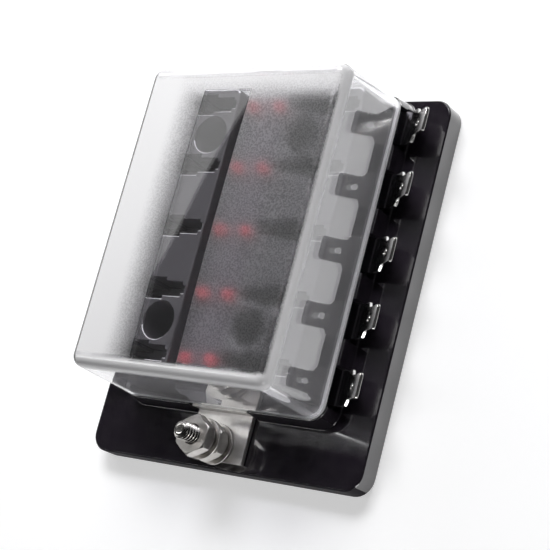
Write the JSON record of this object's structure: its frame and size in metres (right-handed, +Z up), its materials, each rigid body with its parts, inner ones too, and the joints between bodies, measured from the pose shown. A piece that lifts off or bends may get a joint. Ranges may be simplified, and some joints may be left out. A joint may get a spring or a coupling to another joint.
{
  "type": "blade fuse block",
  "caption": "Panel-mount fuse block for blade fuses: two columns of pockets under a clear lift-off cover, spade outputs along both sides and a threaded stud input.",
  "frame": {"origin": "middle of the base plate's underside", "axes": "+Z up out of the panel, +Y along the fuse columns away from the input stud, +X towards the right-hand spade terminals"},
  "size_m": [0.0902, 0.1032, 0.0366],
  "materials": {
    "base_plastic": "polished black moulding",
    "fuse_block_plastic": "fine matte black moulding",
    "clear_cover": "clear walls, frosted top with one clear stripe",
    "board_laminate": "dark solder mask",
    "lamp_lens": "red tinted lens",
    "resistor_body": "black chip",
    "tinned_terminal": "bright tin plating on brass sheet",
    "bus_plating": "nickel plating on brass sheet",
    "bright_steel": "bright turned and pressed"
  },
  "bodies": {
    "block": {"base_plate": "base_plastic", "fuse_block_left": "fuse_block_plastic", "fuse_block_right": "fuse_block_plastic", "led_carrier": "fuse_block_plastic", "led_board": "board_laminate", "led_L1": "lamp_lens", "led_L2": "lamp_lens", "led_L3": "lamp_lens", "led_L4": "lamp_lens", "led_L5": "lamp_lens", "led_R1": "lamp_lens", "led_R2": "lamp_lens", "led_R3": "lamp_lens", "led_R4": "lamp_lens", "led_R5": "lamp_lens", "resistor_L1": "resistor_body", "resistor_L2": "resistor_body", "resistor_L3": "resistor_body", "resistor_L4": "resistor_body", "resistor_L5": "resistor_body", "resistor_R1": "resistor_body", "resistor_R2": "resistor_body", "resistor_R3": "resistor_body", "resistor_R4": "resistor_body", "resistor_R5": "resistor_body", "terminal_L1": "tinned_terminal", "terminal_L2": "tinned_terminal", "terminal_L3": "tinned_terminal", "terminal_L4": "tinned_terminal", "terminal_L5": "tinned_terminal", "terminal_R1": "tinned_terminal", "terminal_R2": "tinned_terminal", "terminal_R3": "tinned_terminal", "terminal_R4": "tinned_terminal", "terminal_R5": "tinned_terminal", "bus_bar": "bus_plating", "input_stud": "bright_steel", "lower_washer": "bright_steel", "lower_lock_washer": "bright_steel", "jam_nut": "bright_steel", "upper_washer": "bright_steel", "upper_lock_washer": "bright_steel", "top_nut": "bright_steel"},
    "cover": {"cover": "clear_cover"}
  },
  "joints": [
    {"name": "cover_lift", "type": "slide", "parent": "block", "child": "cover", "axis": [0, 0, 1], "range_m": [0, 0.03]}
  ]
}
